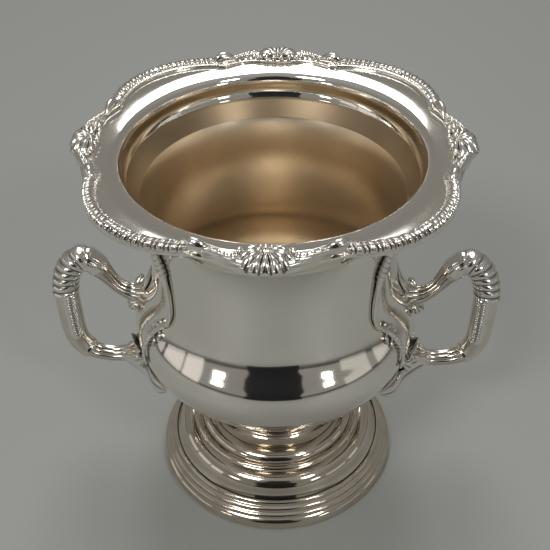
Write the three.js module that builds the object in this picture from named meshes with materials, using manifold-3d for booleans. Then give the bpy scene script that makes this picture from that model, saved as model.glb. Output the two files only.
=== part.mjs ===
// A footed champagne bucket in silver plate: spun body, lobed rim with gadroon borders and shell
// mounts, two cast leaf-capped handles and a stepped round foot.
// Millimetres, +Z up, standing on z = 0, handles along the X axis.

import * as THREE from 'three';
import { mergeVertices } from 'three/addons/utils/BufferGeometryUtils.js';
import Module from 'manifold-3d';

const wasm = await Module();
wasm.setup();

// ---- driving dimensions ----------------------------------------------------------------------

const MOUTH_R = 88.6;            // clear radius of the throat
const LOBE_R = 59.85;            // each rim lobe is an arc of this radius, as far from the axis as its radius
const LOBE_HALF_TURN = 49;       // half of a lobe's arc, in degrees about its own centre
const RIM_TOP = 261.4;           // upper face of the flat rim plate
const PLATE_T = 1.4;             // sheet thickness of plate and body
const BORDER_W = 8.4;            // width of the border mouldings
const BORDER_H = 4.2;            // their height above the plate
const GAP = 0.3;                 // solder gap between neighbouring pieces
const GRIP_R = 8.2;              // radius of the handle grip
const ARM_R = 5.5;               // radius of the handle arms
const FOOT_R = 85.4;             // radius of the foot
const SIDES = 36;                // steps round the turned pieces

// Outer outline of the body, radius and height, from the flared mouth down to the flat bottom.
const BODY_OUTLINE = [
  [89.3, 241.5], [83.6, 231.5], [80, 220], [77.7, 200], [78.4, 178], [81.4, 160], [86.4, 150.3],
  [91.6, 141.5], [93.3, 132.5], [91.6, 120], [86.2, 108.5], [76, 96.5], [60, 86], [34, 77],
];

// Centre line of a handle, distance from the axis and height, from the wall out and down to the belly.
const HANDLE_LINE = [
  [86, 144], [95.4, 145.5], [101.7, 149], [107.2, 155], [111.8, 162.5], [116.6, 169.5], [123.2, 173.6],
  [130.6, 169.6], [136.4, 160], [139, 149], [139.8, 138], [139.8, 124], [139.4, 111], [136.6, 99.5],
  [130.4, 91.8], [121.6, 88], [112, 87], [103, 88.4], [95, 92.5], [86, 100],
];
const ARM_END = 0.19;            // where along the handle the upper arm gives way to the grip
const GRIP_END = 0.74;           // where the grip ends in its cuff
const GRIP_STEPS = 15;           // steps along the grip
const JOINT = 0.003;             // gap between arm and grip, as a fraction of the handle's length

// ---- materials -------------------------------------------------------------------------------

const SHEET = { color: 0xb9b3a8, roughness: 0.12, metalness: 1 };
const CAST = { color: 0xa9a297, roughness: 0.22, metalness: 1 };
const FOOT = { color: 0xb3a798, roughness: 0.14, metalness: 1 };

function named(name, geometry, look) {
  const mesh = new THREE.Mesh(geometry, new THREE.MeshStandardMaterial(look));
  mesh.name = name;
  return mesh;
}

// ---- solids ----------------------------------------------------------------------------------

function toSolid(geometry) {
  const bare = geometry.index ? geometry.toNonIndexed() : geometry.clone();
  bare.deleteAttribute('normal');
  bare.deleteAttribute('uv');
  const merged = mergeVertices(bare, 1e-4);
  return new wasm.Manifold(new wasm.Mesh({
    numProp: 3,
    vertProperties: new Float32Array(merged.attributes.position.array),
    triVerts: new Uint32Array(merged.index.array),
  }));
}

function toGeometry(solid) {
  const mesh = solid.getMesh();
  const geometry = new THREE.BufferGeometry();
  geometry.setAttribute('position', new THREE.BufferAttribute(new Float32Array(mesh.vertProperties), 3));
  geometry.setIndex(new THREE.BufferAttribute(new Uint32Array(mesh.triVerts), 1));
  geometry.computeVertexNormals();
  return geometry;
}

function joined(solids) {
  return solids.reduce((sum, solid) => sum.add(solid));
}

// A turned ring or disc about the Z axis. The outline is a closed loop of [radius, height], or a line
// that starts and ends on the axis.
function turned(outline, sides = SIDES) {
  const points = outline.map(([r, z]) => new THREE.Vector2(r, z));
  const closed = points.every((p) => p.x > 0);
  if (closed) points.push(points[0].clone());
  const geometry = new THREE.LatheGeometry(points, sides);
  geometry.rotateX(Math.PI / 2);
  const solid = toSolid(geometry);
  return solid.volume() > 0 ? solid : toSolid(flipped(geometry));
}

function flipped(geometry) {
  const copy = geometry.index ? geometry.toNonIndexed() : geometry.clone();
  const position = copy.attributes.position;
  for (let i = 0; i < position.count; i += 3) {
    const second = new THREE.Vector3().fromBufferAttribute(position, i + 1);
    const third = new THREE.Vector3().fromBufferAttribute(position, i + 2);
    position.setXYZ(i + 1, third.x, third.y, third.z);
    position.setXYZ(i + 2, second.x, second.y, second.z);
  }
  return copy;
}

function smoothOutline(points, steps) {
  const curve = new THREE.SplineCurve(points.map(([r, z]) => new THREE.Vector2(r, z)));
  return curve.getSpacedPoints(steps).map((p) => [p.x, p.y]);
}

// The outline moved sideways by a distance: positive is away from the axis.
function offsetOutline(outline, distance) {
  return outline.map(([r, z], i) => {
    const before = outline[Math.max(i - 1, 0)];
    const after = outline[Math.min(i + 1, outline.length - 1)];
    const run = new THREE.Vector2(after[0] - before[0], after[1] - before[1]).normalize();
    return [r - run.y * distance, z + run.x * distance];
  });
}

// A round or oval bar along a curve. radiusAt(v) gives its radius from start, v = 0, to end, v = 1;
// sideAt(point, tangent) gives the direction of its width, and flat is its thickness over its width.
function bar(curve, radiusAt, { sides = 10, steps = 14, flat = 1, sideAt = () => new THREE.Vector3(0, 1, 0) } = {}) {
  const geometry = new THREE.CylinderGeometry(1, 1, 1, sides, steps);
  const position = geometry.attributes.position;
  for (let i = 0; i < position.count; i += 1) {
    const v = Math.min(Math.max(0.5 - position.getY(i), 0), 1);
    const centre = curve.getPointAt(v);
    const tangent = curve.getTangentAt(v);
    const side = sideAt(centre, tangent).clone();
    side.addScaledVector(tangent, -side.dot(tangent)).normalize();
    const up = new THREE.Vector3().crossVectors(tangent, side);
    const radius = radiusAt(v);
    centre.addScaledVector(side, position.getX(i) * radius);
    centre.addScaledVector(up, position.getZ(i) * radius * flat);
    position.setXYZ(i, centre.x, centre.y, centre.z);
  }
  const solid = toSolid(geometry);
  return solid.volume() > 0 ? solid : toSolid(flipped(geometry));
}

function block(size, centre) {
  const geometry = new THREE.BoxGeometry(...size);
  geometry.translate(...centre);
  return toSolid(geometry);
}

// A value that changes smoothly between the given values, spaced evenly from v = 0 to v = 1.
function ramp(values) {
  const curve = new THREE.SplineCurve(values.map((value, i) => new THREE.Vector2(i / (values.length - 1), value)));
  return (v) => curve.getPoint(v).y;
}

// ---- body ------------------------------------------------------------------------------------

const bodyOuter = smoothOutline(BODY_OUTLINE, 17);

function bodyShell() {
  const inner = offsetOutline(bodyOuter, -PLATE_T);
  const floorZ = bodyOuter[bodyOuter.length - 1][1];
  inner[inner.length - 1] = [inner[inner.length - 1][0], floorZ + PLATE_T];
  return turned([[0, floorZ], ...bodyOuter.slice().reverse(), ...inner, [0, floorZ + PLATE_T]]);
}

// Everything that the body fills, a solder gap larger, to trim what is fixed to its outside.
function bodyEnvelope() {
  const grown = offsetOutline(bodyOuter, GAP + 0.15);
  const top = grown[0][1] + 4;
  const bottom = grown[grown.length - 1][1] - GAP;
  return turned([[0, bottom], [grown[grown.length - 1][0], bottom], ...grown.slice().reverse(),
    [grown[0][0], top], [0, top]]);
}

function bodyRadiusAt(z) {
  const i = bodyOuter.findIndex((p, k) => k > 0 && p[1] <= z);
  const [r0, z0] = bodyOuter[i - 1];
  const [r1, z1] = bodyOuter[i];
  return r0 + ((z - z0) / (z1 - z0)) * (r1 - r0);
}

function onBody(angleDegrees, z, standoff) {
  const angle = THREE.MathUtils.degToRad(angleDegrees);
  const slope = (bodyRadiusAt(z + 1.5) - bodyRadiusAt(z - 1.5)) / 3;
  const scale = standoff / Math.hypot(1, slope);
  const r = bodyRadiusAt(z) + scale;
  return new THREE.Vector3(r * Math.cos(angle), r * Math.sin(angle), z - slope * scale);
}

// ---- rim -------------------------------------------------------------------------------------

// Outer edge of the rim, from the angle off the nearest shell direction in degrees.
function rimRadiusAt(offShell) {
  const lobe = 2 * LOBE_R * Math.cos(THREE.MathUtils.degToRad(45 - Math.abs(offShell)));
  const swell = 107.4 + 4.6 * (1 + Math.cos(Math.PI * Math.min(Math.abs(offShell) / 22, 1)));
  return Math.max(lobe, swell);
}

function rimShape(inset) {
  const shape = new THREE.Shape();
  const count = 80;
  for (let i = 0; i < count; i += 1) {
    const turn = (i / count) * 360;
    const offShell = ((turn + 45) % 90) - 45;
    const r = rimRadiusAt(offShell) - inset;
    const angle = THREE.MathUtils.degToRad(turn);
    const [x, y] = [r * Math.cos(angle), r * Math.sin(angle)];
    if (i === 0) shape.moveTo(x, y);
    else shape.lineTo(x, y);
  }
  shape.closePath();
  return shape;
}

function rimFlange() {
  const plate = new THREE.ExtrudeGeometry(rimShape(2.6), { depth: PLATE_T, bevelEnabled: false });
  plate.translate(0, 0, RIM_TOP - PLATE_T);
  const throat = smoothOutline([
    [99, RIM_TOP - 0.1], [93.2, RIM_TOP - 1.6], [89.6, RIM_TOP - 4.6], [MOUTH_R, 252.5], [86.4, 244], [79.8, 232.6],
  ], 8);
  const roll = turned([...throat, ...offsetOutline(throat, PLATE_T).reverse()]);
  const hole = turned([[0, 200], [98.2, 200], [98.2, 300], [0, 300]]);
  return toSolid(plate).subtract(hole).add(roll);
}

// One bowed border: a half-round bar with a lip that laps over the plate's edge.
function gadroonBorder(direction) {
  const outer = LOBE_R;
  const section = [
    [outer - 1.9, RIM_TOP - 3], [outer, RIM_TOP - 3], [outer + 0.3, RIM_TOP + 0.6], [outer - 0.9, RIM_TOP + BORDER_H - 0.8],
    [outer - 3.6, RIM_TOP + BORDER_H], [outer - 6, RIM_TOP + 2.2], [outer - BORDER_W, RIM_TOP + 1.7],
    [outer - BORDER_W, RIM_TOP + GAP], [outer - 1.9, RIM_TOP + GAP],
  ];
  const reach = 100;
  const half = THREE.MathUtils.degToRad(LOBE_HALF_TURN);
  const wedge = new THREE.Shape([
    new THREE.Vector2(0, 0), new THREE.Vector2(reach * Math.cos(half), -reach * Math.sin(half)),
    new THREE.Vector2(reach * 2, 0), new THREE.Vector2(reach * Math.cos(half), reach * Math.sin(half)),
  ]);
  const cutter = new THREE.ExtrudeGeometry(wedge, { depth: 30, bevelEnabled: false });
  cutter.translate(0, 0, RIM_TOP - 15);
  const arc = toGeometry(turned(section, 48).intersect(toSolid(cutter)));
  arc.translate(LOBE_R, 0, 0);
  arc.rotateZ(THREE.MathUtils.degToRad(direction));
  return arc;
}

// A scallop shell dome with a leaf scroll running out to the border on each side.
function shellMount(direction) {
  const dome = new THREE.SphereGeometry(1, 12, 6);
  dome.scale(12.6, 13.6, 6.6);
  dome.translate(106.2, 0, RIM_TOP + GAP);
  const scrolls = [1, -1].map((side) => {
    const path = new THREE.CatmullRomCurve3([4, 9, 14, 19].map((offShell) => {
      const r = rimRadiusAt(offShell) - 5.2;
      const angle = THREE.MathUtils.degToRad(offShell * side);
      return new THREE.Vector3(r * Math.cos(angle), r * Math.sin(angle), RIM_TOP + 1.4);
    }));
    return bar(path, ramp([4.6, 4.8, 4.2, 4.4]), {
      sides: 6, steps: 5, flat: 0.6, sideAt: (point) => new THREE.Vector3(point.x, point.y, 0),
    });
  });
  const above = block([60, 90, 30], [106, 0, RIM_TOP + GAP + 15]);
  const geometry = toGeometry(joined([toSolid(dome), ...scrolls]).intersect(above));
  geometry.rotateZ(THREE.MathUtils.degToRad(direction));
  return geometry;
}

// ---- handles ---------------------------------------------------------------------------------

const handleCurve = new THREE.CatmullRomCurve3(HANDLE_LINE.map(([x, z]) => new THREE.Vector3(x, 0, z)));

handleCurve.arcLengthDivisions = 2000;

// The part of the handle's line between two places, each a fraction of its length.
function stretch(from, to) {
  return {
    getPointAt: (v) => handleCurve.getPointAt(from + (to - from) * v),
    getTangentAt: (v) => handleCurve.getTangentAt(from + (to - from) * v),
  };
}

function upperArmSolid(extra = 0) {
  const radius = ramp([8.2, 6.6, ARM_R, ARM_R, 6.2]);
  return bar(stretch(0, ARM_END - JOINT), (v) => radius(v) + extra, { steps: 9 });
}

function lowerArmSolid(extra = 0) {
  const radius = ramp([5.4, 5.2, 5.6, 6.8, 8.4]);
  return bar(stretch(GRIP_END + JOINT, 1), (v) => radius(v) + extra, { steps: 9 });
}

function gripSolid(from, to, extra, steps) {
  const radius = ramp([7, 7.9, 8, GRIP_R, 8.4, 8.3, 7.9, 7.4]);
  const along = (v) => (from + (to - from) * v - ARM_END) / (GRIP_END - ARM_END);
  return bar(stretch(from, to), (v) => radius(along(v)) + extra, { sides: 10, steps });
}

// The acanthus leaf: a sleeve open towards the hand's side of the grip.
function handleLeaf() {
  const from = ARM_END + 0.04;
  const to = ARM_END + 0.28;
  const sleeve = gripSolid(from, to, 1.7, 7).subtract(gripSolid(ARM_END, GRIP_END, GAP + 0.25, GRIP_STEPS));
  const palm = block([34, 40, 72], [112, 0, 134]);
  return sleeve.subtract(palm);
}

function upperMount(envelope, arm) {
  const spikes = [-1, 0, 1].map((side) => {
    const line = [[0, 141], [side * 5, 152], [side * 8, 164], [side * 7, 176]];
    const path = new THREE.CatmullRomCurve3(line.map(([angle, z]) => onBody(angle, z, 1.6)));
    return bar(path, ramp([5, 4.6, 3, 1]), { sides: 6, steps: 5, flat: 0.6 });
  });
  const pad = new THREE.SphereGeometry(1, 10, 6);
  pad.scale(6, 12, 12);
  pad.translate(...onBody(0, 145, 1).toArray());
  return joined([toSolid(pad), ...spikes]).subtract(envelope).subtract(arm);
}

function lowerMount(envelope, arm) {
  const leaves = [-1, 1].map((side) => {
    const line = [[0, 104], [side * 12, 108], [side * 24, 113], [side * 37, 118]];
    const path = new THREE.CatmullRomCurve3(line.map(([angle, z]) => onBody(angle, z, 2)));
    return bar(path, ramp([11, 9.5, 7.5, 1.5]), {
      sides: 6, steps: 7, flat: 0.4, sideAt: () => new THREE.Vector3(0, 0, 1),
    });
  });
  const pad = new THREE.SphereGeometry(1, 10, 6);
  pad.scale(11, 15, 12);
  pad.translate(...onBody(0, 104, 2).toArray());
  return joined([toSolid(pad), ...leaves]).subtract(envelope).subtract(arm);
}

// A thin strand that runs down the wall from under the rim, bows out and turns in at a knot
// above the lower mount.
function strap(side) {
  const line = [[31, 222], [35, 208], [38, 192], [39.5, 176], [38, 166], [34, 158], [32, 150], [31, 141], [31, 132]];
  const path = new THREE.CatmullRomCurve3(line.map(([angle, z]) => onBody(angle * side, z, 1.75)));
  return bar(path, ramp([2.9, 2.6, 2.2, 1.9, 1.8, 1.9, 2.6, 2, 1.8]), {
    sides: 6, steps: 15, flat: 0.62, sideAt: (point, tangent) => new THREE.Vector3(point.x, point.y, 0).cross(tangent),
  });
}

// ---- foot ------------------------------------------------------------------------------------

function footCollar() {
  return turned([
    [20, 70], [31, 70], [34.2, 71.8], [34.2, 74.6], [32, 76.2], [20, 76.2],
  ], 30);
}

function footSpool() {
  return turned([
    [26, 69.6], [30.6, 69.6], [30.6, 67.4], [27.6, 62], [28.2, 55], [31.6, 50.2], [33.6, 50], [34.4, 48.4],
    [36.6, 47.6], [38.2, 46], [40.4, 45.4], [42.4, 43.6], [46.6, 42.2], [46.6, 40.6], [42, 40.6], [32, 46],
    [26, 54],
  ], 30);
}

function footDome() {
  const outer = [
    [47.3, 42], [50.4, 41], [53.6, 39.6], [55.4, 37.2], [56.4, 34.6], [58.4, 33.6], [62, 33.8], [66, 32.8], [69.4, 29.6],
    [71.6, 25.4], [72.6, 22], [74.4, 20.4],
  ];
  const inner = offsetOutline(outer, -PLATE_T).slice(1, -1).reverse();
  return turned([...outer, [73.4, 19.2], ...inner, [45.2, 39.2], [45.2, 40.1], [47.3, 40.1]]);
}

function footBaseRing() {
  return turned([
    [74.8, 20.1], [76, 19.6], [76.8, 17.6], [78.6, 16.8], [79, 14.4], [80.8, 13.2], [81, 10.6], [83.4, 8.6],
    [FOOT_R - 0.4, 6], [FOOT_R, 3.4], [FOOT_R - 0.8, 0], [FOOT_R - 4, 0], [80.4, 5], [78.6, 9], [76.6, 13], [74, 18.6],
  ]);
}

// ---- assembly --------------------------------------------------------------------------------

function handleSet(side) {
  const group = new THREE.Group();
  group.rotation.z = side === 'right' ? 0 : Math.PI;
  const envelope = bodyEnvelope();
  const pieces = {
    handle_upper_arm: upperArmSolid().subtract(envelope),
    handle_grip: gripSolid(ARM_END, GRIP_END, 0, GRIP_STEPS),
    handle_leaf: handleLeaf(),
    handle_lower_arm: lowerArmSolid().subtract(envelope),
    upper_mount: upperMount(envelope, upperArmSolid(GAP)),
    lower_mount: lowerMount(envelope, lowerArmSolid(GAP)),
  };
  for (const [name, solid] of Object.entries(pieces)) group.add(named(`${name}_${side}`, toGeometry(solid), CAST));
  const front = side === 'right' ? -1 : 1;
  group.add(named(`strap_${side}_front`, toGeometry(strap(front)), CAST));
  group.add(named(`strap_${side}_back`, toGeometry(strap(-front)), CAST));
  return group;
}

const bucket = new THREE.Group();
bucket.add(named('body_shell', toGeometry(bodyShell()), SHEET));
bucket.add(named('rim_flange', toGeometry(rimFlange()), SHEET));

const BORDERS = { front_right: -45, back_right: 45, back_left: 135, front_left: 225 };
for (const [place, direction] of Object.entries(BORDERS)) {
  bucket.add(named(`gadroon_border_${place}`, gadroonBorder(direction), CAST));
}

const SHELLS = { right: 0, back: 90, left: 180, front: 270 };
for (const [place, direction] of Object.entries(SHELLS)) {
  bucket.add(named(`shell_mount_${place}`, shellMount(direction), CAST));
}

bucket.add(handleSet('right'));
bucket.add(handleSet('left'));

bucket.add(named('foot_collar', toGeometry(footCollar()), FOOT));
bucket.add(named('foot_spool', toGeometry(footSpool()), FOOT));
bucket.add(named('foot_dome', toGeometry(footDome()), FOOT));
bucket.add(named('foot_base_ring', toGeometry(footBaseRing()), FOOT));

export default bucket;
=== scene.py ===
import math

import bmesh
import bpy
import numpy as np
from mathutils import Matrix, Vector


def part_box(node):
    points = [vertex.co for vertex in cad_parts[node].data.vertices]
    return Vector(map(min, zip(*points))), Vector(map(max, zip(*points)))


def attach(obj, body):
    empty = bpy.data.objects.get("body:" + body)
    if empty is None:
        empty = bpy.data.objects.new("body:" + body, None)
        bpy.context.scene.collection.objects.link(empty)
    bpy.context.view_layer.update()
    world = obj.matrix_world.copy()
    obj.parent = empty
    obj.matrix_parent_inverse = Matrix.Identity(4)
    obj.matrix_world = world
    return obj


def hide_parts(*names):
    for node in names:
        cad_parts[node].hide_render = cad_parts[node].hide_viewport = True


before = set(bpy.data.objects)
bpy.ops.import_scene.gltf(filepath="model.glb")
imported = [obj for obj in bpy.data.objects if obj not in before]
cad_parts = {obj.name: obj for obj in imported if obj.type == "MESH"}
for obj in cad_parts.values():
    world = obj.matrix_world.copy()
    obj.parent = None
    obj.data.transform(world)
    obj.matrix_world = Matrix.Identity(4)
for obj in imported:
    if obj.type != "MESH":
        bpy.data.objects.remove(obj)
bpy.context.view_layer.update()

MM = 0.001
FULL_TURN = 2 * math.pi

# ---- The bench, the view and the light ---------------------------------------------------------
# The bucket stands on a plain pale bench in soft studio light: a tall light above and behind, two
# soft boxes in front, low pale panels round the front and both sides, and a dark screen facing it,
# which mirror-bright plate needs to show its form.

CAMERA_AT = (0.01718, -0.43927, 0.5321)
CAMERA_TURN = (49.847, 0.587, 1.718)
CAMERA_LENS = 57.61

camera = bpy.data.objects.new("camera", bpy.data.cameras.new("camera"))
camera.location = CAMERA_AT
camera.rotation_euler = [math.radians(angle) for angle in CAMERA_TURN]
camera.data.lens = CAMERA_LENS
camera.data.sensor_width = 36
camera.data.clip_start = 0.02
bpy.context.scene.collection.objects.link(camera)
bpy.context.scene.camera = camera
bpy.context.scene.view_settings.view_transform = "Standard"


def plain_matt(name, colour, roughness):
    material = bpy.data.materials.new(name)
    material.use_nodes = True
    shader = material.node_tree.nodes["Principled BSDF"]
    shader.inputs["Base Color"].default_value = (*colour, 1)
    shader.inputs["Roughness"].default_value = roughness
    return material


def stage_board(name, corners, material):
    mesh = bpy.data.meshes.new(name)
    mesh.from_pydata(corners, [], [tuple(range(len(corners)))])
    mesh.materials.append(material)
    board = bpy.data.objects.new(name, mesh)
    bpy.context.scene.collection.objects.link(board)


BENCH = 5.0
bench_paint = plain_matt("bench_paint", (0.335, 0.345, 0.33), 0.55)
bench_corners = [(-BENCH, -BENCH, 0), (BENCH, -BENCH, 0), (BENCH, BENCH, 0), (-BENCH, BENCH, 0)]
stage_board("bench", bench_corners, bench_paint)

SCREEN_AT = -1.62
SCREEN_EDGE = [
    (-0.60, 0.0), (0.58, 0.0), (0.55, 0.34), (0.64, 0.52), (0.60, 0.80), (0.44, 1.05), (0.46, 1.5),
    (0.22, 1.75), (-0.12, 1.8), (-0.30, 1.6), (-0.34, 1.2), (-0.56, 1.0), (-0.62, 0.66), (-0.52, 0.4),
]
screen_cloth = plain_matt("screen_cloth", (0.012, 0.012, 0.016), 0.9)
stage_board("dark_screen", [(x, SCREEN_AT, z) for x, z in SCREEN_EDGE], screen_cloth)

LIGHTS_AIM = Vector((0, 0, 0.15))


def soft_light(name, at, size, power, colour):
    light = bpy.data.lights.new(name, "AREA")
    light.shape = "RECTANGLE"
    light.size, light.size_y = size
    light.energy = power
    light.color = colour
    lamp = bpy.data.objects.new(name, light)
    lamp.location = at
    lamp.rotation_euler = (LIGHTS_AIM - Vector(at)).to_track_quat("-Z", "Y").to_euler()
    bpy.context.scene.collection.objects.link(lamp)


soft_light("overhead_light", (-0.05, 1.25, 2.3), (0.9, 1.8), 22, (1, 0.99, 0.97))
soft_light("front_fill", (-0.82, -1.3, 1.85), (0.6, 0.45), 15, (1, 0.985, 0.96))
soft_light("right_box", (1.0, -1.3, 1.6), (0.36, 0.3), 6, (1, 0.98, 0.95))

PANELS_AWAY = 2.05
CREAM = (1, 0.97, 0.93)
BLUSH = (1, 0.94, 0.91)
STRAW = (1, 0.97, 0.90)
# Each panel's degrees round the bucket, height, width, tallness, power and colour.
for turn, height, wide, tall, power, colour in [
    (230, 0.62, 0.30, 0.16, 0.90, CREAM), (310, 0.62, 0.26, 0.16, 0.90, CREAM),
    (210, 0.42, 0.52, 0.62, 0.50, BLUSH), (193, 0.44, 0.60, 0.66, 0.55, BLUSH),
    (174, 0.42, 0.60, 0.62, 0.50, BLUSH), (332, 0.36, 0.80, 0.44, 0.30, STRAW),
    (356, 0.40, 0.50, 0.50, 0.26, STRAW),
]:
    angle = math.radians(turn)
    at = (PANELS_AWAY * math.cos(angle), PANELS_AWAY * math.sin(angle), height)
    soft_light("wall_panel", at, (wide, tall), power, colour)

# The room by height, from straight ahead at 0 to straight up at 1.
DIM_SKIRTING = (0.07, 0.068, 0.064)
LOW_WALL = (0.25, 0.24, 0.22)
HIGH_WALL = (0.215, 0.209, 0.195)
CEILING = (0.33, 0.33, 0.32)
studio = bpy.data.worlds.new("studio")
studio.use_nodes = True
bpy.context.scene.world = studio
direction = studio.node_tree.nodes.new("ShaderNodeTexCoord")
split = studio.node_tree.nodes.new("ShaderNodeSeparateXYZ")
room = studio.node_tree.nodes.new("ShaderNodeValToRGB")
room.color_ramp.elements[0].color = (*DIM_SKIRTING, 1)
room.color_ramp.elements[1].position = 0.95
room.color_ramp.elements[1].color = (*CEILING, 1)
for place, colour in [(0.03, DIM_SKIRTING), (0.055, LOW_WALL), (0.55, HIGH_WALL)]:
    room.color_ramp.elements.new(place).color = (*colour, 1)
background = studio.node_tree.nodes["Background"]
studio.node_tree.links.new(direction.outputs["Generated"], split.inputs[0])
studio.node_tree.links.new(split.outputs["Z"], room.inputs["Fac"])
studio.node_tree.links.new(room.outputs["Color"], background.inputs["Color"])

# ---- The body ----------------------------------------------------------------------------------
# The bucket proper: one disc of sheet spun on a lathe to an urn, straight above, with an ogee flare into a
# full belly, then silver plated. Outside it is polished; inside it is left to a warm tarnish. The floor is
# painted darker, partly for stains where ice has stood and partly as painted shade at the bottom of the deep
# bowl.

BODY_OUTLINE = [
    (89.3, 241.5), (83.6, 231.5), (80, 220), (77.7, 200), (78.4, 178), (81.4, 160), (86.4, 150.3),
    (91.6, 141.5), (93.3, 132.5), (91.6, 120), (86.2, 108.5), (76, 96.5), (60, 86), (34, 77),
]
BODY_BOTTOM = 77
AT_AXIS = 0.001
SHEET = 1.4
BODY_STEPS = 288
# Heights up to which the upward-facing inside counts as floor, and up to which that floor is painted darker,
# partly as stains and partly as painted shade.
FLOOR_TOP = 110
STAIN_AND_SHADE_TOP = 100


def fair_line(points, steps):
    """A line of even curvature through the points, as a spinner's template is drawn."""
    points = np.array(points, float)
    knots = np.r_[0, np.cumsum(np.linalg.norm(np.diff(points, axis=0), axis=1))]
    gaps = np.diff(knots)
    count = len(points)
    matrix = np.zeros((count, count))
    matrix[0, 0] = matrix[-1, -1] = 1
    right = np.zeros_like(points)
    for i in range(1, count - 1):
        matrix[i, i - 1:i + 2] = gaps[i - 1], 2 * (gaps[i - 1] + gaps[i]), gaps[i]
        right[i] = 6 * ((points[i + 1] - points[i]) / gaps[i] - (points[i] - points[i - 1]) / gaps[i - 1])
    bend = np.linalg.solve(matrix, right)
    at = np.linspace(0, knots[-1], steps)
    i = np.clip(np.searchsorted(knots, at, side="right") - 1, 0, count - 2)
    done = (at - knots[i])[:, None]
    left = (knots[i + 1] - at)[:, None]
    gap = gaps[i][:, None]
    return (
        (bend[i] * left ** 3 + bend[i + 1] * done ** 3) / (6 * gap)
        + (points[i] / gap - bend[i] * gap / 6) * left
        + (points[i + 1] / gap - bend[i + 1] * gap / 6) * done
    )


def beside(outline, distance):
    """The outline moved sideways: positive is away from the axis where the outline runs down."""
    run = np.gradient(outline, axis=0)
    run /= np.linalg.norm(run, axis=1)[:, None]
    return outline + distance * np.c_[-run[:, 1], run[:, 0]]


def skin(name, grid, closed_rows=False, capped=False, crease=40, recess_and_shade=None):
    """A piece from a grid of points in millimetres: every row is a closed loop of points. The recess mask
    says how dark each point is painted, from 0 to 1: how deep in a hollow it lies, and painted shade along
    the strands' sides."""
    rows, cols = grid.shape[:2]
    points = grid.reshape(-1, 3) * MM
    row = np.arange(rows if closed_rows else rows - 1)[:, None] * cols
    col = np.arange(cols)[None, :]
    after = (col + 1) % cols
    below = (row + cols) % (rows * cols)
    faces = np.stack([row + col, row + after, below + after, below + col], -1).reshape(-1, 4).tolist()
    if capped:
        points = np.vstack([points, grid[0].mean(0) * MM, grid[-1].mean(0) * MM])
        first, last = rows * cols, rows * cols + 1
        faces += [(first, (j + 1) % cols, j) for j in range(cols)]
        base = (rows - 1) * cols
        faces += [(last, base + j, base + (j + 1) % cols) for j in range(cols)]
    mesh = bpy.data.meshes.new(name)
    mesh.from_pydata(points.tolist(), [], faces)
    depths = np.zeros(len(points))
    if recess_and_shade is not None:
        depths[:rows * cols] = recess_and_shade.reshape(-1)
    mesh.attributes.new("recess_and_shade", "FLOAT", "POINT").data.foreach_set("value", depths)
    work = bmesh.new()
    work.from_mesh(mesh)
    bmesh.ops.remove_doubles(work, verts=work.verts, dist=1e-7)
    bmesh.ops.recalc_face_normals(work, faces=work.faces)
    work.to_mesh(mesh)
    work.free()
    mesh.shade_smooth()
    mesh.set_sharp_from_angle(angle=math.radians(crease))
    piece = bpy.data.objects.new(name, mesh)
    bpy.context.scene.collection.objects.link(piece)
    return piece


def turned_grid(outline, steps):
    """Points of a piece spun about the upright axis, from its closed outline of radius and height."""
    turn = np.linspace(0, FULL_TURN, steps, endpoint=False)
    r, z = outline[:, 0, None], outline[:, 1, None]
    return np.stack([r * np.cos(turn), r * np.sin(turn), z + 0 * turn], -1)


def faces_axis(face):
    """Whether a face of a spun piece looks inwards, at the axis."""
    return face.normal.x * face.center.x + face.normal.y * face.center.y < 0


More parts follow.
